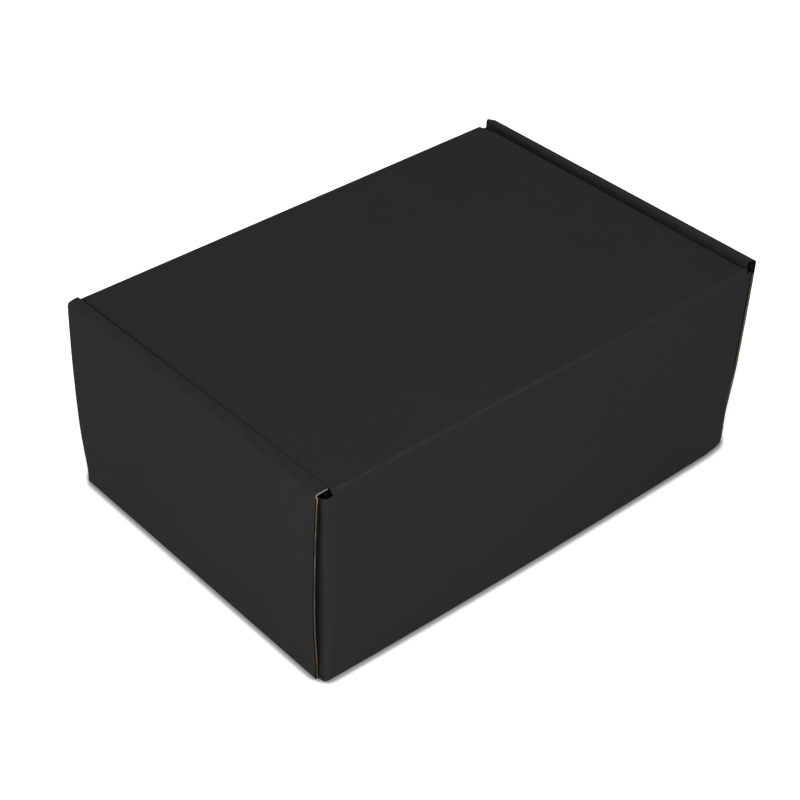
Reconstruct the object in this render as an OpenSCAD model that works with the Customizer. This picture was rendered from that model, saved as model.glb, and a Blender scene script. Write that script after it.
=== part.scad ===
/* [Inside space] */
// Clear length between the two rolled ends
inside_l = 254; // [180:1:400]
// Clear width between the front wall and the rear wall
inside_w = 180; // [130:1:300]
// Clear height between the base and the closed lid
inside_h = 101; // [70:1:160]

/* [Board] */
// Thickness of the corrugated board
board_t = 1.6; // [1.2:0.1:2.2]
// Inner radius of every fold
fold_r = 0.3; // [0.3:0.1:0.8]
// Cut-back of a free edge from the fold beside it
edge_trim = 0.6; // [0.4:0.1:1.5]

/* [Rolled ends] */
// Slack between the plies of a rolled end
ply_gap = 0.9; // [0.3:0.1:1.2]
// Cut-back of the inner ply's sides below its head
inner_trim = 4.5; // [1:0.5:8]
// Depth of the inner ply's head, which is as wide as its fold
inner_head = 8; // [4:1:20]
// Height of a rolled end above the lid
spine_rise = 1.4; // [1:0.1:5]
// Width of a locking tab
tab_w = 28; // [15:1:36]
// Distance between the two tabs of one end
tab_pitch = 88; // [60:1:90]
// Height of a tab's tip above the underside
tab_short = 0.4; // [0.2:0.1:0.8]
// Clearance round a tab in its slot, and under the inner ply
slot_play = 0.4; // [0.3:0.1:0.8]

/* [Corner flaps] */
// Length of a corner flap caught inside a rolled end
corner_l = 58; // [30:1:62]
// Drop of the rear wall's shoulders below the lid's fold
corner_drop = 0.5; // [0.2:0.1:5]
// Clearance of the corner flaps above the base
corner_foot = 1.2; // [0.6:0.1:3]
// Taper of a corner flap towards its free end
corner_taper = 6; // [2:0.5:12]

/* [Lid] */
// Clearance between the lid and each rolled end
lid_gap = 0.8; // [0.4:0.1:1.5]
// Depth of the tuck flap below its fold
tuck_d = 48; // [25:1:60]
// Set-back of each end of the tuck flap from the lid's side
tuck_side = 3; // [2.8:0.1:8]
// Taper of each end of the tuck flap
tuck_taper = 7; // [3:0.5:14]
// Clearance of the tuck flap behind the front wall, also while it swings past
tuck_gap = 0.5; // [0.4:0.1:1.5]
// Drop of the front wall's edge below the top of the lid
front_drop = 2.8; // [2:0.1:8]
// Depth of the dust flaps below their folds
dust_d = 33; // [20:1:50]
// Taper of each end of a dust flap
dust_taper = 14; // [6:1:25]
// Rounding of the free corners of the flaps
flap_r = 9; // [4:0.5:9]
// Slit between the lid's half of its hinge fold and the rear wall's half
hinge_slit = 0.3; // [0.2:0.05:0.4]
// Distance of the hinge line outside the skin of the fold
hinge_out = 0.2; // [0.15:0.05:0.4]

/* [Hidden] */
$fn = 96;
LINER = "#2b2b2b";
FOLD = 90;
lap = fold_r / 3;
bend_r = fold_r + board_t;

// Overall box, worked out from the inside space and the plies
end_t = 3 * board_t + 2 * ply_gap;
half_l = inside_l / 2 + end_t;
half_w = inside_w / 2 + board_t;
lid_top = inside_h + 2 * board_t;
box_h = lid_top + spine_rise;

// Flat stretches between the folds of the tray
base_half_l = half_l - bend_r;
base_half_w = half_w - bend_r;
wall_half_l = half_l - board_t - ply_gap - bend_r;
foot_half_l = wall_half_l + bend_r;
end_half_w = base_half_w - edge_trim;
inner_half_w = end_half_w - inner_trim;
end_h = box_h - 2 * bend_r;
spine_w = end_t - 2 * bend_r;
inner_h = box_h - bend_r - board_t - slot_play;
tab_h = board_t + slot_play - tab_short;
rear_h = lid_top - 2 * bend_r;
front_h = lid_top - front_drop - bend_r;
shoulder_h = rear_h - corner_drop;
corner_z = board_t + corner_foot - bend_r;

// Flat stretches between the folds of the lid
lid_half_l = inside_l / 2 - lid_gap;
lid_side = lid_half_l - bend_r;
lid_front = half_w - board_t - tuck_gap - bend_r;
hinge_half_l = lid_side - edge_trim;
tuck_half_l = lid_half_l - tuck_side;

// The tuck flap leans in so far that its edge, swinging about the hinge line, just passes the front wall
hinge_in = (bend_r + hinge_out) * cos(FOLD / 2);
swing_l = base_half_w + hinge_in + lid_front;
swing_h = hinge_in;
swing_r = swing_l + bend_r;
flap_sq = pow(tuck_d, 2) + pow(bend_r, 2);
lid_sq = pow(swing_l, 2) + pow(swing_h, 2);
tuck_lean = acos((pow(swing_r, 2) - lid_sq - flap_sq) / (2 * sqrt(lid_sq * flap_sq)))
    - atan2(swing_l * tuck_d - swing_h * bend_r, swing_l * bend_r + swing_h * tuck_d);

function unit(v) = v / norm(v);

// Where a corner's rounding leaves the edge that runs from p to q
function tangent(p, q, r, half_angle) = p + unit(q - p) * r / tan(half_angle);

function half_angle(a, p, b) = acos(unit(a - p) * unit(b - p)) / 2;

function round_centre(a, p, b, r) = p + unit(unit(a - p) + unit(b - p)) * r / sin(half_angle(a, p, b));

// A flat of board from its fold line at y = 0 out to y = depth, narrower at its free edge, with round corners
module flap(half, depth, taper, r) {
    top = [half, lap];
    foot = [half - taper, depth];
    side = half_angle(top, foot, [0, depth]);
    along = tangent(foot, top, r, side);
    across = tangent(foot, [0, depth], r, side);
    centre = round_centre(top, foot, [0, depth], r);
    right = [[half, 0], top, along, across];
    left = [for (i = [len(right) - 1 : -1 : 0]) [-right[i].x, right[i].y]];
    linear_extrude(board_t) {
        polygon(concat(right, left));
        for (s = [-1, 1])
            translate([s * centre.x, centre.y]) circle(r);
    }
}

// A flat rectangle of board from its fold line at y = 0
module flat(half, depth) {
    translate([-half, 0, 0]) cube([2 * half, depth, board_t]);
}

// What lies inside a bend's skin of radius r, with a square leg beside the flat at each end
module bend_core(r, turn) {
    leg = 2 * lap;
    circle(r);
    translate([-leg, -r]) square([leg, r]);
    rotate(turn) translate([0, -r]) square([leg, r]);
}

// Section of a bend between its two skins, with legs that lap onto the flats
module bend_section(turn) {
    reach = 2 * bend_r;
    translate([0, bend_r])
        intersection() {
            difference() {
                bend_core(bend_r, turn);
                bend_core(fold_r, turn);
            }
            translate([-lap, -reach]) square(2 * reach);
            rotate(turn) translate([lap - 2 * reach, -reach]) square(2 * reach);
        }
}

// The bent board of a fold along x, from the flat that ends at y = 0, with its outer skin at z = 0
module bend(half, turn) {
    translate([-half, 0, 0])
        rotate([90, 0, 90])
            linear_extrude(2 * half) bend_section(turn);
}

// A fold along x, and what follows it
module fold(half, turn) {
    bend(half, turn);
    translate([0, 0, bend_r])
        rotate([turn, 0, 0])
            translate([0, 0, -bend_r]) children();
}

// Half of the lid's fold, cut back from its middle by half of the slit
module half_hinge() {
    difference() {
        bend(hinge_half_l, FOLD / 2);
        translate([0, 0, bend_r])
            rotate([FOLD / 2, 0, 0])
                translate([-half_l, -hinge_slit / 2, -2 * bend_r])
                    cube([2 * half_l, hinge_slit + 2 * lap, 2 * bend_r]);
    }
}

// Slots through the base for the locking tabs of one end
module tab_slots() {
    slot_w = tab_w + 2 * slot_play;
    slot_t = board_t + 2 * slot_play;
    for (s = [-1, 1])
        translate([half_l - end_t - slot_play, s * tab_pitch / 2 - slot_w / 2, -board_t])
            cube([slot_t, slot_w, 3 * board_t]);
}

module base_panel() {
    difference() {
        translate([-base_half_l, -base_half_w, 0])
            cube([2 * base_half_l, 2 * base_half_w, board_t]);
        for (turn = [0, 180])
            rotate([0, 0, turn]) tab_slots();
    }
}

// The inner ply of a rolled end, with the tabs that lock it into the base
module inner_ply() {
    flat(end_half_w, inner_head);
    flat(inner_half_w, inner_h);
    for (s = [-1, 1])
        translate([s * tab_pitch / 2, inner_h, 0]) flat(tab_w / 2, tab_h);
}

// One end rolled over from the base: outer ply, narrow spine, inner ply
module rolled_end() {
    fold(end_half_w, FOLD) {
        flat(end_half_w, end_h);
        translate([0, end_h, 0])
            fold(end_half_w, FOLD) {
                flat(end_half_w, spine_w);
                translate([0, spine_w, 0])
                    fold(end_half_w, FOLD) inner_ply();
            }
    }
}

// A corner flap folded off the side of a long wall, into the rolled end
module corner_flap(top) {
    height = top - corner_z;
    translate([wall_half_l, corner_z + height / 2, 0])
        rotate([0, 0, -90])
            fold(height / 2, FOLD) flap(height / 2, corner_l, corner_taper, flap_r);
}

// A long wall as high as its corner flaps
module walled_side(top) {
    flat(wall_half_l, top);
    corner_flap(top);
    mirror([1, 0, 0]) corner_flap(top);
}

module front_wall() {
    fold(foot_half_l, FOLD) walled_side(front_h);
}

// The rear wall goes on between its shoulders into the lower half of the lid's fold
module rear_wall() {
    fold(foot_half_l, FOLD) {
        walled_side(shoulder_h);
        translate([0, shoulder_h, 0]) flat(hinge_half_l, rear_h - shoulder_h);
        translate([0, rear_h, 0]) half_hinge();
    }
}

module tray() {
    color(LINER) {
        base_panel();
        translate([0, base_half_w, 0]) rear_wall();
        rotate([0, 0, 180])
            translate([0, base_half_w, 0]) front_wall();
        for (turn = [-90, 90])
            rotate([0, 0, turn])
                translate([0, base_half_l, 0]) rolled_end();
    }
}

// A dust flap folded down from one side of the lid
module dust_flap() {
    middle = (lid_front - base_half_w) / 2;
    half = (lid_front + base_half_w) / 2 - edge_trim;
    translate([lid_side, middle, 0])
        rotate([0, 0, -90])
            fold(half, FOLD) flap(half, dust_d, dust_taper, flap_r);
}

// The lid panel, seen from its underside, with the upper half of its fold
module lid_panel() {
    translate([-lid_side, -base_half_w, 0])
        cube([2 * lid_side, base_half_w + lid_front, board_t]);
    translate([0, -base_half_w, 0])
        rotate([0, 0, 180]) half_hinge();
}

module lid() {
    color(LINER)
        translate([0, 0, lid_top])
            rotate([180, 0, 0]) {
                lid_panel();
                translate([0, lid_front, 0])
                    fold(tuck_half_l, FOLD + tuck_lean) flap(tuck_half_l, tuck_d, tuck_taper, flap_r);
                dust_flap();
                mirror([1, 0, 0]) dust_flap();
            }
}

tray();
lid();
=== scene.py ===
import math

import bpy
from mathutils import Matrix, Vector


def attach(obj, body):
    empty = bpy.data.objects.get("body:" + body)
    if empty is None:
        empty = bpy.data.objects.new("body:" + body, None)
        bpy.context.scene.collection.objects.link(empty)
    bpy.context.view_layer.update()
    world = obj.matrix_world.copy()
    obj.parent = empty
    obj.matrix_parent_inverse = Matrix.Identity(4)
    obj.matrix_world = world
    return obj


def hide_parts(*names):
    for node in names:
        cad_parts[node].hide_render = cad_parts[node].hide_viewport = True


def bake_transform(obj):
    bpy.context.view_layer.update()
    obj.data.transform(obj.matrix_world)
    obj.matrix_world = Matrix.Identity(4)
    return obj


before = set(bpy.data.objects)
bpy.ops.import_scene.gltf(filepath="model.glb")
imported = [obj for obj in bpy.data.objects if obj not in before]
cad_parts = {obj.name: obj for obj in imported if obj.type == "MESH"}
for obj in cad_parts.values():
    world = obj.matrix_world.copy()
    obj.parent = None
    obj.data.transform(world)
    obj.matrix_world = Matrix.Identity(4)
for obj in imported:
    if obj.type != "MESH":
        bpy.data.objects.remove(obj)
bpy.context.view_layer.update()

MM = 0.001

# Sizes of the box in millimetres, as in the part's source
BOARD = 1.6
BEND = 1.9
HALF_L = 133.6
HALF_W = 91.6
BOX_H = 105.6
LID_TOP = 104.2

# Outlines of the tray's panels
WALL_HALF = 129.2
FOOT_HALF = 131.1
FOOT_STEPS = (129.9, 130.5, 130.9)
FOOT_TOP = 2.2
END_HALF = 89.1
INNER_HALF = 84.6
SPINE_IN = 127.0
PLY_HEAD = 9.9
PLY_FOOT = 2.0
TAB_SIDES = (30.0, 58.0)
TAB_TIP = 0.4
SLOT_X = (126.6, 129.0)
SLOT_Y = (29.6, 58.4)
FLAP_X = 131.1
FLAP_FOOT = 2.8
FLAP_L = 58.0
FLAP_TAPER = 6.0
FRONT_TOP = 101.4
SHOULDER = 101.8
REAR_TOP = 102.3
HINGE_HALF = 126.2

# Outlines of the lid's panels
LID_HALF = 126.2
LID_FLAT = 124.3
LID_REAR = 89.7
LID_FRONT = -87.6
DUST_Y = (-87.0, 89.5)
DUST_D = 33.0
DUST_TAPER = 14.0
TUCK_HALF = 123.2
TUCK_D = 48.0
TUCK_TAPER = 7.0
TUCK_TURN = math.radians(98.2)
TUCK_BEND = BEND * math.tan(TUCK_TURN / 2)
FLAP_ROUND = 8.2

# How the photographed box has settled out of its true shape. Left is +x and right is -x, as the
# camera sees them, and a pair is for the front and the rear unless its comment says otherwise

# The base is a little short, and the top sways to the right
SHRINK = 1 - 0.7 / HALF_L
TOP_SWAY = 0.5
# The right end's top leans out, its foot is drawn in and its front is low, and its spine's inner
# fold stands high, with so much more at the front tip
RIGHT_LEAN = 2.8
RIGHT_FOOT_IN = 2.4
RIGHT_DROP = 0.8
RIGHT_SPINE_UP = (1.5, 0.9)
# The left end's top leans in and is low, its spine rounds off outwards and swells inwards
LEFT_LEAN = 0.3
LEFT_DROP = (1.2, 0.7)
LEFT_ROUND = (0.035, 0.005)
LEFT_SWELL = (-0.28, 0.6)
# An end's plies stand out across the width, at the foot and at the top
RIGHT_PLY_OUT = (0.3, 0.9)
LEFT_PLY_OUT = ((-2.2, 0.7), (-0.9, 0.7))
# An outer ply bows out at half its height and is drawn in above its foot, and these are the two
# sizes, then the shares of the height where the drawn-in part ends and where it is full
RIGHT_BOW = (1.0, 1.9, 0.45, 0.2)
LEFT_BOW = (1.3, 0.8, 0.35, 0.03)
# The corner flaps stand in, on the left and on the right, with their feet down
FLAP_IN = (0.75, 0.3)
FLAP_DOWN = 0.5
# The long walls round off at their corners, the rear one's foot stands out, less so away from the
# middle, and the spines' folds are sharper than a round bend
WALL_ROUND = 0.03
FOOT_BULGE = 3.1
FOOT_BOW = 1.1
FOLD_CRISP = 0.5
# The lid's front corners are lifted, on the left and on the right, the right one's tip is bent
# down and the left one's is spread
LID_LIFT = (-0.3, 1.7)
LID_DIP = 2.0
LID_EAR = 1.5

# Where these moves begin or end, along the length
LEAN_FROM = 112
BULGE_HALF = 110
BULGE_END = 122
SET_IN_FROM = 118
WALL_ROUND_FROM = 126.5
LEFT_ROUND_FROM = 128
LID_DIP_X = 123

# Across the width, with the swell as a share of it
BULGE_FROM = 70
TIP_FROM = 70
LID_DIP_Y = 84
SWELL_FROM = 0.1

# And upwards, with the drawn-in part as a share of the height
SET_IN_TOP = 9
ROLL_FROM = 60
DRAWN_FROM = 0.05

# Rubbed ink and a painted highlight on the hinge fold: how much at its right end and from a place
# on the left on, and how far it reaches to each side of the bend's middle, as a share of half the
# bend
RUB_HIGHLIGHT = (0.55, 1.0)
RUB_HIGHLIGHT_FULL = 60
RUB_HIGHLIGHT_REACH = 0.6

# The board's flutes and its cut edges: where the right roll's clean cut starts, how far round the
# hinge the die has crushed the edge and it is painted near black as shade, and how square a face
# stands to the flutes that it crosses
FLUTE = 3.4
CLEAN_CUT = 98.5
CRUSHED_IN_SHADE_Y = END_HALF - 4
CRUSHED_IN_SHADE_Z = SHOULDER - 8
SQUARE_ON = 0.6

# Places of the finishes on the tray and the lid, and on the crease
PRINTED, PLAIN, OPEN, SHUT_IN_SHADE, BARE, BROWN = range(6)
CREASE_PRINTED, CREASE_SHUT_IN_SHADE = range(2)

# The fine grid over every panel, and the steps of a bend, a round corner and the crease
GRID = 4.0
GRID_X = (-120, 120)
GRID_Y = (-84, 84)
TRAY_GRID_Z = (4, 98)
LID_GRID_Z = (56, 102)
BEND_STEPS = 6
ROUND_STEPS = 6
CREASE_STEPS = 62
SMOOTH_BELOW = math.radians(35)


def near(value, place):
    return abs(value - place) < 0.02


def within(value, ends):
    return ends[0] < value < ends[1]


def both(*places):
    """The same places on both sides of the middle."""
    return [side * place for place in places for side in (-1, 1)]


def middle_of(points):
    return sum(points, Vector()) / len(points)


def take(piece):
    """Make a piece the only one selected, and the one that is worked on."""
    bpy.ops.object.select_all(action="DESELECT")
    piece.select_set(True)
    bpy.context.view_layer.objects.active = piece


def flat_panel(name, x, y, z):
    """A flat panel of board, drawn as its outer face and left in edit mode to be folded."""
    bpy.ops.object.select_all(action="DESELECT")
    place = (sum(x) / 2 * MM, sum(y) / 2 * MM, z * MM)
    bpy.ops.mesh.primitive_plane_add(size=1, location=place)
    panel = bpy.context.object
    panel.name = panel.data.name = name
    panel.scale = ((x[1] - x[0]) * MM, (y[1] - y[0]) * MM, 1)
    bpy.ops.object.transform_apply(location=True, rotation=True, scale=True)
    bpy.ops.object.mode_set(mode="EDIT")
    return panel


def score(axis, places):
    """Cut every panel across at these places along an axis, without parting it."""
    normal = [0.0, 0.0, 0.0]
    normal[axis] = 1.0
    for place in places:
        bpy.ops.mesh.select_all(action="SELECT")
        bpy.ops.mesh.bisect(plane_co=[n * place * MM for n in normal], plane_no=normal)


def steps(low, high):
    """Places of the grid's cuts between two ends."""
    count = round((high - low) / GRID)
    return [low + (high - low) * i / count for i in range(1, count)]


def score_grid(heights, more=()):
    """Score the folded board finely all over, so that it can settle."""
    score(0, steps(*GRID_X))
    score(1, steps(*GRID_Y))
    score(2, [*steps(*heights), *more])


def pick(panel, kind, test):
    """Select the corners, edges or faces whose middle, in millimetres, passes the test."""
    bpy.ops.mesh.select_mode(type=kind)
    bpy.ops.mesh.select_all(action="DESELECT")
    bpy.ops.object.mode_set(mode="OBJECT")
    mesh = panel.data
    if kind == "VERT":
        for corner in mesh.vertices:
            corner.select = test(*(corner.co / MM))
    else:
        for part in mesh.edges if kind == "EDGE" else mesh.polygons:
            middle = middle_of([mesh.vertices[i].co for i in part.vertices])
            part.select = test(*(middle / MM))
    bpy.ops.object.mode_set(mode="EDIT")


def cut_away(panel, test):
    """Die-cut the picked faces out of a panel."""
    pick(panel, "FACE", test)
    bpy.ops.mesh.delete(type="FACE")


def extend(x, y, z):
    """Carry the board on from the picked edges."""
    bpy.ops.mesh.extrude_edges_move(TRANSFORM_OT_translate={"value": (x * MM, y * MM, z * MM)})


def taper(axis, share):
    """Narrow the free edge that has just been drawn, about its own middle."""
    mesh = bpy.context.edit_object
    mesh.update_from_editmode()
    middle = middle_of([v.co for v in mesh.data.vertices if v.select])
    value = [1.0, 1.0, 1.0]
    value[axis] = share
    bpy.ops.transform.resize(value=value, center_override=middle)


def bend(offset):
    """Round the picked sharp fold lines to the outer radius of a fold."""
    bpy.ops.mesh.bevel(
        offset=offset * MM,
        offset_type="OFFSET",
        segments=BEND_STEPS,
        profile=0.5,
        affect="EDGES",
        clamp_overlap=False,
    )


def round_corners(panel, test):
    """Round the picked free corners of a flap."""
    pick(panel, "VERT", test)
    bpy.ops.mesh.bevel(offset=FLAP_ROUND * MM, segments=ROUND_STEPS, affect="VERTICES")


def close_panel(panel, downward):
    """Merge doubled corners and turn every face outwards; downward is how the main panel faces."""
    bpy.ops.mesh.select_all(action="SELECT")
    bpy.ops.mesh.remove_doubles(threshold=0.03 * MM)
    bpy.ops.mesh.normals_make_consistent(inside=False)
    bpy.ops.object.mode_set(mode="OBJECT")
    main = max(panel.data.polygons, key=lambda face: face.area * abs(face.normal.z) ** 4)
    if (main.normal.z < 0) != downward:
        bpy.ops.object.mode_set(mode="EDIT")
        bpy.ops.mesh.select_all(action="SELECT")
        bpy.ops.mesh.flip_normals()
        bpy.ops.object.mode_set(mode="OBJECT")


def roll_end(tray, side):
    """A rolled end: outer ply, spine, the inner ply's head, its narrower rest and two tabs."""

    def on_ply(x, z, height):
        return near(x, side * SPINE_IN) and near(z, height)

    head = BOX_H - PLY_HEAD
    pick(tray, "EDGE", lambda x, y, z: near(x, side * HALF_L))
    extend(0, 0, BOX_H)
    extend(side * (SPINE_IN - HALF_L), 0, 0)
    extend(0, 0, -PLY_HEAD)
    pick(tray, "EDGE", lambda x, y, z: on_ply(x, z, head) and abs(y) < INNER_HALF)
    extend(0, 0, PLY_FOOT + PLY_HEAD - BOX_H)
    pick(tray, "EDGE", lambda x, y, z: on_ply(x, z, PLY_FOOT) and within(abs(y), TAB_SIDES))
    extend(0, 0, TAB_TIP - PLY_FOOT)


def raise_wall(tray, side, top):
    """A long wall on its wider foot, with a corner flap at each side."""

    def on_wall(y, z, height):
        return near(y, side * HALF_W) and near(z, height)

    def on_side(x, y, z, end):
        return near(x, end * WALL_HALF) and near(y, side * HALF_W) and FLAP_FOOT < z < top

    pick(tray, "EDGE", lambda x, y, z: on_wall(y, z, 0))
    extend(0, 0, FOOT_TOP)
    pick(tray, "EDGE", lambda x, y, z: on_wall(y, z, FOOT_TOP) and abs(x) < WALL_HALF)
    extend(0, 0, FLAP_FOOT - FOOT_TOP)
    extend(0, 0, top - FLAP_FOOT)
    for end in (-1, 1):
        pick(tray, "EDGE", lambda x, y, z: on_side(x, y, z, end))
        extend(end * BEND, 0, 0)
        extend(0, -side * BEND, 0)
        extend(0, -side * FLAP_L, 0)
        height = top - FLAP_FOOT
        taper(2, (height - 2 * FLAP_TAPER) / height)


def on_tray_fold(x, y, z):
    ends = near(abs(x), HALF_L) and (near(z, 0) or near(z, BOX_H))
    rolls = near(abs(x), SPINE_IN) and near(z, BOX_H)
    feet = near(abs(y), HALF_W) and near(z, 0)
    corners = near(abs(x), FLAP_X) and near(abs(y), HALF_W) and FLAP_FOOT < z < SHOULDER
    return ends or rolls or feet or corners


def draw_tray():
    """The base with two walls, four corner flaps and two rolled ends, folded from one sheet."""
    tray = flat_panel("tray_board", (-HALF_L, HALF_L), (-HALF_W, HALF_W), 0)
    score(0, both(HINGE_HALF, SLOT_X[0], WALL_HALF, SLOT_X[1], *FOOT_STEPS, FOOT_HALF))
    score(1, both(*SLOT_Y, *TAB_SIDES, INNER_HALF, END_HALF))
    cut_away(tray, lambda x, y, z: abs(x) > FOOT_HALF and abs(y) > END_HALF)
    cut_away(tray, lambda x, y, z: within(abs(x), SLOT_X) and within(abs(y), SLOT_Y))
    for side in (-1, 1):
        roll_end(tray, side)
    raise_wall(tray, -1, FRONT_TOP)
    raise_wall(tray, 1, SHOULDER)

    # Between its shoulders the rear wall goes on up to the hinge fold
    def on_rear_top(x, y, z):
        return near(y, HALF_W) and near(z, SHOULDER) and abs(x) < HINGE_HALF

    pick(tray, "EDGE", on_rear_top)
    extend(0, 0, REAR_TOP - SHOULDER)
    flap_tip = HALF_W - BEND - FLAP_L
    round_corners(tray, lambda x, y, z: near(abs(x), FLAP_X) and near(abs(y), flap_tip))
    pick(tray, "EDGE", on_tray_fold)
    bend(BEND)
    score_grid(TRAY_GRID_Z, [CLEAN_CUT])
    close_panel(tray, True)
    return tray


def draw_lid():
    """The lid with its tuck flap and two dust flaps, folded from the rest of the sheet."""
    front = LID_FRONT - TUCK_BEND
    lid = flat_panel("lid_board", (-LID_HALF, LID_HALF), (front, LID_REAR), LID_TOP)
    score(0, both(LID_FLAT, TUCK_HALF))
    score(1, (LID_FRONT, *DUST_Y))
    cut_away(lid, lambda x, y, z: abs(x) > LID_FLAT and not within(y, DUST_Y))
    cut_away(lid, lambda x, y, z: abs(x) > TUCK_HALF and y < LID_FRONT)
    down = Vector((0, -math.cos(TUCK_TURN), -math.sin(TUCK_TURN)))
    pick(lid, "EDGE", lambda x, y, z: near(y, front))
    extend(*(down * TUCK_BEND))
    extend(*(down * TUCK_D))
    taper(0, (TUCK_HALF - TUCK_TAPER) / TUCK_HALF)
    tip_z = LID_TOP + down.z * (TUCK_BEND + TUCK_D)
    tip_x = TUCK_HALF - TUCK_TAPER
    round_corners(lid, lambda x, y, z: near(z, tip_z) and near(abs(x), tip_x))
    for side in (-1, 1):
        pick(lid, "EDGE", lambda x, y, z: near(x, side * LID_HALF))
        extend(0, 0, -BEND)
        extend(0, 0, -DUST_D)
        width = DUST_Y[1] - DUST_Y[0]
        taper(1, (width - 2 * DUST_TAPER) / width)
    foot_z = LID_TOP - BEND - DUST_D
    ends = (DUST_Y[0] + DUST_TAPER, DUST_Y[1] - DUST_TAPER)
    round_corners(lid, lambda x, y, z: near(z, foot_z) and (near(y, ends[0]) or near(y, ends[1])))
    pick(lid, "EDGE", lambda x, y, z: near(y, front) and near(z, LID_TOP))
    bend(TUCK_BEND)
    pick(lid, "EDGE", lambda x, y, z: near(abs(x), LID_HALF) and near(z, LID_TOP))
    bend(BEND)
    score_grid(LID_GRID_Z)
    close_panel(lid, False)
    return lid


def draw_crease():
    """The bent board between the rear wall and the lid, turned through its quarter circle."""
    bpy.ops.object.select_all(action="DESELECT")
    place = (0, (HALF_W - BOARD / 2) * MM, REAR_TOP * MM)
    bpy.ops.mesh.primitive_grid_add(
        x_subdivisions=CREASE_STEPS, y_subdivisions=2, size=1, location=place
    )
    crease = bpy.context.object
    crease.name = crease.data.name = "hinge_crease"
    crease.scale = (2 * HINGE_HALF * MM, BOARD * MM, 1)
    bpy.ops.object.transform_apply(location=True, rotation=True, scale=True)
    bpy.ops.object.mode_set(mode="EDIT")
    bpy.ops.mesh.select_all(action="SELECT")
    centre = (0, LID_REAR * MM, REAR_TOP * MM)
    bpy.ops.mesh.spin(steps=2 * BEND_STEPS, angle=math.pi / 2, center=centre, axis=(-1, 0, 0))
    bpy.ops.mesh.select_all(action="SELECT")
    bpy.ops.mesh.remove_doubles(threshold=0.01 * MM)
    bpy.ops.mesh.normals_make_consistent(inside=False)
    bpy.ops.object.mode_set(mode="OBJECT")
    return crease


def tray_grain(x, y, z):
    """Which way the flutes run, 0 along x, 1 along y or 2 along z, and the place across them."""
    in_width = abs(y) < END_HALF + 0.1
    above_foot = z > BEND or abs(x) < SLOT_X[1]
    on_flap = abs(y) < HALF_W - BEND + 0.1 and FLAP_FOOT - 1 < z < SHOULDER + 1
    if near(abs(x), FLAP_X) and on_flap:
        return 1, HALF_W + z
    if abs(x) > SPINE_IN - 0.1 and in_width and z > PLY_FOOT - 2 and above_foot:
        return 2, y
    return 0, abs(y) + z


def lid_grain(x, y, z):
    """The same for the lid, whose dust flaps hang down from its sides."""
    if abs(x) > LID_FLAT + 1:
        return 2, y
    return 0, y - (LID_TOP - z)


def ease(value, low, high):
    """0 up to the low place, 1 from the high one on, and a smooth rise between them."""
    share = min(max((value - low) / (high - low), 0.0), 1.0)
    return share * share * (3 - 2 * share)


def between(ends, share):
    """A size that runs from one end's value to the other's."""
    return ends[0] + (ends[1] - ends[0]) * share


def rear_share(y):
    """How far back a place is, from 0 at the front of a rolled end to 1 at its rear."""
    return (y + END_HALF) / (2 * END_HALF)


def swayed(x, z):
    """A place along the box's length, on its short base and with its top swayed."""
    return (x - TOP_SWAY * z / LID_TOP) * SHRINK


def leaning(x, z):
    """How far the right end, and what joins it, leans out at its top."""
    return RIGHT_LEAN * ease(-x, LEAN_FROM, SPINE_IN) * z / BOX_H


def bowed(height, bow):
    """How far an end's outer ply stands off, less how far it is drawn in above its foot."""
    out, drawn, top, foot = bow
    drawn_in = drawn * (1 - ease(height, DRAWN_FROM, top)) * ease(height, 0, foot)
    return out * 4 * height * (1 - height) - drawn_in


def crisp(x, z):
    """How far a place on one of a spine's two folds is pushed out towards a sharp corner."""
    wide = abs(x)
    centre = HALF_L - BEND if wide > HALF_L - BEND else SPINE_IN + BEND
    across, up = wide - centre, z - (BOX_H - BEND)
    inside_arc = abs(across) > 0.01 and up > 0.01 and near(math.hypot(across, up), BEND)
    share = FOLD_CRISP * (BEND / max(abs(across), up) - 1) if inside_arc else 0.0
    return math.copysign(across * share, x * across), up * share


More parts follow.
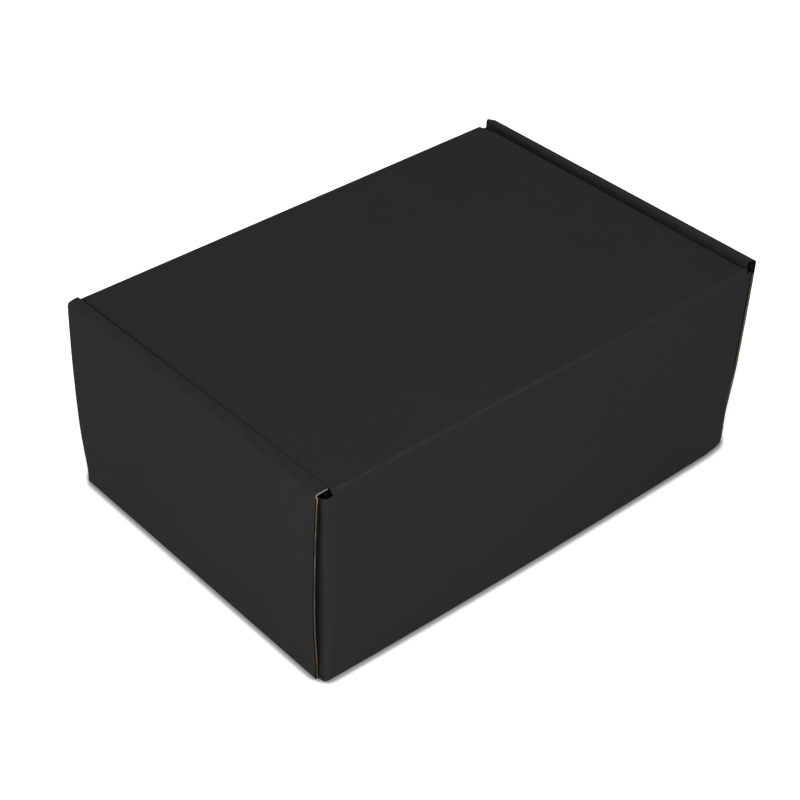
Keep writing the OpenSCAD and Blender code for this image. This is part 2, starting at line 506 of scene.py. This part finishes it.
def settled_tray(x, y, z):
    """A place of the tray on the box as photographed."""
    height = z / BOX_H
    rearward = rear_share(y)
    wide = abs(x)
    top = ease(wide, HINGE_HALF, SPINE_IN) * height
    inner = z > REAR_TOP + 0.5 or near(wide, SPINE_IN) and abs(y) < END_HALF + 0.1
    outer = wide > FLAP_X + 0.2
    dx, dz = crisp(x, z)
    dy = 0.0

    # Across the width: the plies of the ends, or else the long walls and their corner flaps
    if inner or outer:
        ply_out = LEFT_PLY_OUT[y > 0] if x > 0 else RIGHT_PLY_OUT
        dy += y / END_HALF * between(ply_out, height)
    else:
        bulge = FOOT_BULGE - FOOT_BOW * (x / BULGE_HALF) ** 2
        bulge *= 1 - ease(-x, BULGE_END, FLAP_X)
        dy += bulge * (1 - z / REAR_TOP) * ease(y, BULGE_FROM, END_HALF)
        set_in = ease(wide, SET_IN_FROM, WALL_HALF) * ease(z, FLAP_FOOT, SET_IN_TOP)
        dx -= math.copysign(FLAP_IN[x < 0] * set_in, x)
        rounding = WALL_ROUND * max(wide - WALL_ROUND_FROM, 0.0) ** 2 * set_in
        dy -= math.copysign(rounding * ease(abs(y), END_HALF - 1, HALF_W), y)
        if near(z, FLAP_FOOT) and wide > WALL_HALF:
            dz -= FLAP_DOWN

    # The ends of the long walls' feet follow the round of the corner above them
    if wide > WALL_HALF and abs(y) > END_HALF and z < FOOT_TOP + 0.1:
        drop = BEND - math.sqrt(max(BEND**2 - (wide - WALL_HALF) ** 2, 0.0))
        dy -= math.copysign(drop * (abs(y) - END_HALF) / (HALF_W - END_HALF), y)

    # Along the length and upwards: the two ends
    if outer:
        dx += bowed(height, LEFT_BOW) if x > 0 else -bowed(height, RIGHT_BOW)
    raised = ease(z, ROLL_FROM, REAR_TOP)
    if x > 0:
        dx -= LEFT_LEAN * top
        dz -= between(LEFT_DROP, rearward) * top
        if inner:
            swell = between(LEFT_SWELL, ease(rearward, SWELL_FROM, 1))
            dx -= swell * (1 - ease(x, SPINE_IN, HALF_L - BEND))
        if inner or outer:
            dz -= between(LEFT_ROUND, rearward) * max(x - LEFT_ROUND_FROM, 0.0) ** 2 * raised
    else:
        foot_in = RIGHT_FOOT_IN * (1 - height) * ease(wide, LEAN_FROM, WALL_HALF)
        dx += foot_in - leaning(x, z)
        if inner:
            up = RIGHT_SPINE_UP[0] + RIGHT_SPINE_UP[1] * ease(-y, TIP_FROM, END_HALF)
            dz += up * (1 - ease(wide, SPINE_IN, HALF_L)) * raised
        if inner or outer:
            dz -= RIGHT_DROP * (1 - rearward) * raised
    return swayed(x + dx, z), y + dy, z + dz


def settled_lid(x, y, z):
    """A place of the lid on the box as photographed."""
    frontward = (LID_REAR - y) / (LID_REAR - LID_FRONT)
    lift = between(LID_LIFT, (LID_HALF - x) / (2 * LID_HALF))
    dip = LID_DIP * ease(-x, LID_DIP_X, LID_HALF) * ease(-y, LID_DIP_Y, -LID_FRONT)
    ear = LID_EAR if x > TUCK_HALF + 0.1 and y < DUST_Y[0] - 0.1 else 0.0
    return swayed(x + ear - leaning(x, z) * rear_share(y), z), y, z + lift * frontward - dip


def settled_crease(x, y, z):
    """A place of the hinge's strip, which goes along with the wall and the lid."""
    return swayed(x - leaning(x, z), z), y, z


def settle(panel, settled):
    """Move every corner of the mesh to its settled place."""
    for corner in panel.data.vertices:
        corner.co = Vector(settled(*(corner.co / MM))) * MM


def note(panel, name, values, kind="FLOAT"):
    """Keep a number for each corner of the mesh, for its material to read."""
    found = panel.data.attributes.new(name, kind, "POINT")
    found.data.foreach_set("value", values)


def board(panel, grain, settled, finishes):
    """Settle the folded sheet and give it its board's thickness, with a cut edge all round."""
    points = [v.co / MM for v in panel.data.vertices]
    ways = [grain(*p) for p in points]
    settle(panel, settled)
    note(panel, "grain", [way for way, place in ways], "INT")
    note(panel, "ribs", [place for way, place in ways])
    note(panel, "along", [sum(p) for p in points])
    inner = panel.vertex_groups.new(name="inner_face")
    for finish in finishes:
        panel.data.materials.append(finish)
    take(panel)
    wall = panel.modifiers.new("board", "SOLIDIFY")
    wall.thickness = BOARD * MM
    wall.offset = -1
    wall.use_even_offset = True
    wall.use_quality_normals = True
    wall.material_offset_rim = PLAIN
    wall.shell_vertex_group = inner.name
    bpy.ops.object.modifier_apply(modifier=wall.name)
    corners = panel.data.vertices
    note(panel, "across", [max((g.weight for g in v.groups), default=0.0) for v in corners])
    finish_edges(panel.data)
    bpy.ops.object.shade_smooth_by_angle(angle=SMOOTH_BELOW)


def inked(x, y, z):
    """Cut edges blackened by the print: the walls' feet, and the front of the lid and the rolls."""
    return abs(x) < FLAP_X and z < FLAP_FOOT + 0.4 or y < LID_FRONT + 2 and z > SHOULDER - 1


def bared(x, y, z):
    """The rear end of the left roll's spine, where the edge of the outer liner is bare."""
    return x > SPINE_IN - 1 and y > 0 and z > BOX_H - LEFT_DROP[1] - BOARD - 0.3


def crushed_in_shade(x, y, z):
    """Cut edges crushed shut by the die and painted near black as shade: round the hinge's ends, in
    the rolls and on the right.
    """
    hinge = y > CRUSHED_IN_SHADE_Y and CRUSHED_IN_SHADE_Z < z < REAR_TOP + 2 and abs(x) < FLAP_X
    flaps = LID_HALF < abs(x) < FLAP_X and z > CRUSHED_IN_SHADE_Z
    right = x < -HINGE_HALF and z > CLEAN_CUT
    return hinge or flaps or right


def finish_edges(mesh):
    """Give each cut edge its finish; one that crosses the flutes shows their wave."""
    grain = mesh.attributes["grain"].data
    for face in mesh.polygons:
        if face.material_index == PLAIN:
            way = grain[face.vertices[0]].value
            x, y, z = face.center / MM
            if inked(x, y, z):
                face.material_index = PRINTED
            elif bared(x, y, z):
                face.material_index = BARE
            # Crushed shut and painted near black as the shade of the notches
            elif crushed_in_shade(x, y, z):
                face.material_index = SHUT_IN_SHADE
            elif x < -FLAP_X:
                face.material_index = BROWN
            elif abs(face.normal[way]) > SQUARE_ON:
                face.material_index = OPEN


def dress_crease(crease, finishes):
    """Settle the hinge's strip, and note where its print is rubbed and its highlight painted, and
    where its board is cut.
    """
    places = [v.co.copy() for v in crease.data.vertices]
    settle(crease, settled_crease)
    spokes = [(p.y / MM - LID_REAR, p.z / MM - REAR_TOP) for p in places]
    angles = [math.atan2(z, y) for y, z in spokes]
    rub_and_highlight = []
    for place, angle in zip(places, angles):
        off_middle = abs(angle / (math.pi / 4) - 1)
        rubbed = between(RUB_HIGHLIGHT, ease(place.x / MM, -HINGE_HALF, RUB_HIGHLIGHT_FULL))
        rub_and_highlight.append(rubbed * max(0.0, 1 - off_middle / RUB_HIGHLIGHT_REACH))
    note(crease, "rub_and_highlight", rub_and_highlight)
    note(crease, "across", [(BEND - math.hypot(y, z)) / BOARD for y, z in spokes])
    note(crease, "along", [BEND * a for a in angles])
    note(crease, "ribs", [HALF_W + REAR_TOP + BEND * a for a in angles])
    for finish in finishes:
        crease.data.materials.append(finish)
    for face in crease.data.polygons:
        # The strip's cut ends, crushed shut and painted near black as shade
        at_end = abs(face.normal.x) > SQUARE_ON
        face.material_index = CREASE_SHUT_IN_SHADE if at_end else CREASE_PRINTED
    take(crease)
    bpy.ops.object.shade_smooth_by_angle(angle=SMOOTH_BELOW)


def linear(code):
    """A colour written as sRGB hex, as the linear numbers that a shader takes."""
    parts = [int(code[i : i + 2], 16) / 255 for i in (1, 3, 5)]
    return [c / 12.92 if c <= 0.04045 else ((c + 0.055) / 1.055) ** 2.4 for c in parts] + [1.0]


def put(tree, kind, sockets, **settings):
    """Add a node with its settings, and fill its sockets with values or links."""
    node = tree.nodes.new("ShaderNode" + kind)
    for name, value in settings.items():
        setattr(node, name, value)
    for socket, value in sockets.items():
        if isinstance(value, bpy.types.NodeSocket):
            tree.links.new(value, node.inputs[socket])
        else:
            node.inputs[socket].default_value = value
    return node


def calc(tree, operation, *values):
    """The result of a sum on values or links."""
    return put(tree, "Math", dict(enumerate(values)), operation=operation).outputs[0]


def ramp(tree, value, span, to=(0.0, 1.0)):
    """A value's run over a span, turned into a run from one number to another."""
    sockets = {"From Min": span[0], "From Max": span[1], "To Min": to[0], "To Max": to[1]}
    return put(tree, "MapRange", {"Value": value, **sockets}).outputs[0]


def mixed(tree, share, first, second, clamped=True):
    """A colour on its way from one to another."""
    sockets = {"Factor": share, "A": first, "B": second}
    return put(tree, "Mix", sockets, data_type="RGBA", clamp_factor=clamped).outputs["Result"]


def per_mm(size):
    """The scale of a pattern with marks this many millimetres apart, on places in metres."""
    return 1 / (size * MM)


def noise(tree, place, size, detail, roughness=0.5):
    """Cloudy noise with marks of this many millimetres."""
    sockets = {"Scale": per_mm(size), "Detail": detail, "Roughness": roughness}
    return put(tree, "TexNoise", {"Vector": place, **sockets}).outputs["Fac"]


def noted(tree, name):
    """The number kept for each corner of the mesh under this name."""
    return put(tree, "Attribute", {}, attribute_name=name).outputs["Fac"]


def flute_wave(tree, place):
    """The rise and fall of the flutes, at a place across them in millimetres."""
    return calc(tree, "SINE", calc(tree, "MULTIPLY", place, 2 * math.pi / FLUTE))


def new_finish(name):
    """An empty material, its node tree and its output."""
    finish = bpy.data.materials.new(name)
    finish.use_nodes = True
    finish.node_tree.nodes.clear()
    return finish, finish.node_tree, put(finish.node_tree, "OutputMaterial", {})


def printed_liner(name, rubbed_and_highlit=False):
    """Kraft liner flood printed black in flexo: matt, faintly mottled, with a few pale fibres."""
    finish, tree, out = new_finish(name)
    place = put(tree, "TexCoord", {}).outputs["Object"]
    mottle = noise(tree, place, size=6, detail=4, roughness=0.6)
    tone = noise(tree, place, size=70, detail=1)
    ink = ramp(tree, mottle, (0.3, 0.7))
    drift = ramp(tree, tone, (0.3, 0.7), to=(0, 0.5))
    shade = calc(tree, "ADD", ink, drift)
    skin = mixed(tree, shade, linear("#2a2a2a"), linear("#2c2c2c"), clamped=False)

    # Pale fibres about 0.6 mm long, one every 20 mm or so
    stretch = {"Scale": (1, 1.7, 1.3), "Rotation": (0.4, 0.7, 0.5)}
    turned = put(tree, "Mapping", {"Vector": place, **stretch}).outputs[0]
    cells = put(tree, "TexVoronoi", {"Vector": turned, "Scale": per_mm(20)}, feature="F1")
    fibres = ramp(tree, cells.outputs["Distance"], (0.022, 0.012), to=(0, 0.5))
    skin = mixed(tree, fibres, skin, linear("#4a4744"))

    # Ink cracked and rubbed where the board bends, in patches 2 to 8 mm long, with the fold's
    # highlight painted in with the same paler colour
    if rubbed_and_highlit:
        patches = noise(tree, place, size=5, detail=5, roughness=0.7)
        broken = ramp(tree, patches, (0.38, 0.75), to=(0, 0.7))
        rub_and_highlight_marks = calc(tree, "MULTIPLY", noted(tree, "rub_and_highlight"), broken)
        skin = mixed(tree, rub_and_highlight_marks, skin, linear("#403f3e"))

    # Paper tooth under 1 mm, drawn at 1.2 mm so that it shows, over the faint ribs of the flutes
    tooth = noise(tree, place, size=1.2, detail=3, roughness=0.6)
    ribs = flute_wave(tree, noted(tree, "ribs"))
    relief = calc(tree, "MULTIPLY_ADD", ribs, 0.12, tooth)
    bump = put(tree, "Bump", {"Height": relief, "Strength": 0.25, "Distance": 0.06 * MM})
    looks = {
        "Base Color": skin,
        "Roughness": ramp(tree, mottle, (0.3, 0.7), to=(0.62, 0.74)),
        "Normal": bump.outputs[0],
        "IOR": 1.5,
        "Specular IOR Level": 0.03,
    }
    surface = put(tree, "BsdfPrincipled", looks)
    tree.links.new(surface.outputs[0], out.inputs[0])
    return finish


def cut_edge(name, middle, reach, crosses_flutes=False):
    """Die-cut edge of the corrugated board: a line of brown kraft between black-faced liners."""
    finish, tree, out = new_finish(name)
    place = put(tree, "TexCoord", {}).outputs["Object"]
    grit = noise(tree, place, size=1.5, detail=4, roughness=0.7)
    patches = noise(tree, place, size=9, detail=2)
    light = ramp(tree, calc(tree, "MULTIPLY", grit, patches), (0.12, 0.4), to=(0, 0.27))

    # Paler towards the top, from 99 mm up to 105 mm
    height = put(tree, "SeparateXYZ", {0: place}).outputs["Z"]
    paler_top = ramp(tree, height, (99 * MM, 105 * MM), to=(0, 0.7))
    pale = calc(tree, "ADD", light, paler_top)
    kraft = mixed(tree, pale, linear("#4a3728"), linear("#b9aa92"))

    # The kraft's line, or the flutes' wave between the liners, with the liners' edges and the
    # hollows on both sides painted near black as shade, darker than the black print
    off = calc(tree, "SUBTRACT", noted(tree, "across"), middle)
    if crosses_flutes:
        wave = flute_wave(tree, noted(tree, "along"))
        off = calc(tree, "MULTIPLY_ADD", wave, -0.3, off)
    medium = ramp(tree, calc(tree, "ABSOLUTE", off), (reach + 0.05, reach - 0.05))
    bump = put(tree, "Bump", {"Height": grit, "Strength": 0.5, "Distance": 0.1 * MM})
    looks = {
        # Near black beside the kraft: painted shade, darker than the liners' print
        "Base Color": mixed(tree, medium, linear("#060606"), kraft),
        "Roughness": 0.9,
        "Normal": bump.outputs[0],
        "Specular IOR Level": 0.03,
    }
    surface = put(tree, "BsdfPrincipled", looks)
    tree.links.new(surface.outputs[0], out.inputs[0])
    return finish


def photo_camera():
    """The photograph's point of view, its centre in the middle of a square image."""
    image_pixels, focal_pixels, sensor = 800, 1881.236, 36
    right = Vector((-0.754211, 0.656441, 0.015807))
    down = Vector((0.386123, 0.462846, -0.797924))
    forward = Vector((-0.531107, -0.595700, -0.602550))
    eye = Vector((489.976, 540.591, 586.944)) * MM
    bpy.ops.object.camera_add()
    camera = bpy.context.object
    camera.name = "photo_camera"
    camera.data.sensor_width = sensor
    camera.data.lens = sensor * focal_pixels / image_pixels
    camera.data.clip_start = 0.01
    turn = Matrix((right, -down, -forward)).transposed().to_4x4()
    camera.matrix_world = Matrix.Translation(eye) @ turn
    bpy.context.scene.camera = camera


def white_floor():
    """A matt white floor under the box, twice as bright to the eye as to the box."""
    bpy.ops.mesh.primitive_plane_add(size=12)
    floor = bpy.context.object
    floor.name = "floor"
    finish, tree, out = new_finish("white_painted_floor")
    plain = put(tree, "BsdfDiffuse", {"Color": linear("#e6e6e6")})

    # The narrow shadow along the foot, where the box hides most of the room from the floor
    close = put(tree, "AmbientOcclusion", {"Distance": 4 * MM}, samples=16)
    shade = ramp(tree, close.outputs["AO"], (0.62, 0.97), to=(0.27, 1))
    bright = put(tree, "BsdfDiffuse", {"Color": shade}).outputs[0]
    twice = put(tree, "AddShader", {0: bright, 1: bright}).outputs[0]
    seen = put(tree, "LightPath", {}).outputs["Is Camera Ray"]
    surface = put(tree, "MixShader", {0: seen, 1: plain.outputs[0], 2: twice})
    tree.links.new(surface.outputs[0], out.inputs[0])
    floor.data.materials.append(finish)


def white_room(strength):
    """Even light from all round, behind which the eye sees white."""
    world = bpy.data.worlds.new("white_room")
    bpy.context.scene.world = world
    world.use_nodes = True
    tree = world.node_tree
    tree.nodes.clear()
    seen = put(tree, "LightPath", {}).outputs["Is Camera Ray"]
    level = ramp(tree, seen, (0, 1), to=(strength, 1))
    sky = put(tree, "Background", {"Color": (1, 1, 1, 1), "Strength": level})
    put(tree, "OutputWorld", {"Surface": sky.outputs[0]})


def softbox(name, place, size, power):
    """A soft oblong lamp that looks at the middle of the box."""
    bpy.ops.object.light_add(type="AREA", location=place)
    lamp = bpy.context.object
    lamp.name = name
    lamp.data.shape = "RECTANGLE"
    lamp.data.size, lamp.data.size_y = size
    lamp.data.energy = power
    aim = Vector((0, 0, 0.05)) - Vector(place)
    lamp.rotation_euler = aim.to_track_quat("-Z", "Y").to_euler()


photo_camera()

# Black printed liner, and the cut edges of its E-flute board in the states that the photo shows,
# each with the place and the half width of its brown line, as shares of the thickness
liner = printed_liner("black_printed_kraft_liner")
crease_liner = printed_liner("black_printed_liner_on_the_hinge", rubbed_and_highlit=True)
plain_edge = cut_edge("board_edge_along_the_flutes", middle=0.6, reach=0.21)
open_edge = cut_edge("board_edge_across_the_flutes", middle=0.5, reach=0.1, crosses_flutes=True)
# Crushed shut and all near black, as painted shade in the dark notches
shut_edge_in_shade = cut_edge("board_edge_crushed_shut_in_painted_shade", middle=0.5, reach=-0.1)
bare_edge = cut_edge("board_edge_with_its_outer_liner_bare", middle=0.15, reach=0.16)
brown_edge = cut_edge("board_edge_rubbed_brown", middle=0.6, reach=0.45)
lid_finishes = (liner, plain_edge, open_edge, shut_edge_in_shade)
tray_finishes = (*lid_finishes, bare_edge, brown_edge)

tray = draw_tray()
lid = draw_lid()
crease = draw_crease()
board(tray, tray_grain, settled_tray, tray_finishes)
board(lid, lid_grain, settled_lid, lid_finishes)
dress_crease(crease, (crease_liner, shut_edge_in_shade))

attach(tray, "tray")
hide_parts("tray")
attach(lid, "lid")
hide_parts("lid")
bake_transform(crease)

white_floor()
white_room(strength=0.57)
softbox("end_strip", place=(1.2, 0.15, 0.08), size=(0.8, 0.1), power=2.65)
softbox("rear_strip", place=(0.45, 1.0, 0.08), size=(0.8, 0.1), power=2.0)
softbox("overhead", place=(0.34, 0.34, 0.66), size=(0.4, 0.4), power=2.0)

scene = bpy.context.scene
scene.view_settings.view_transform = "Standard"
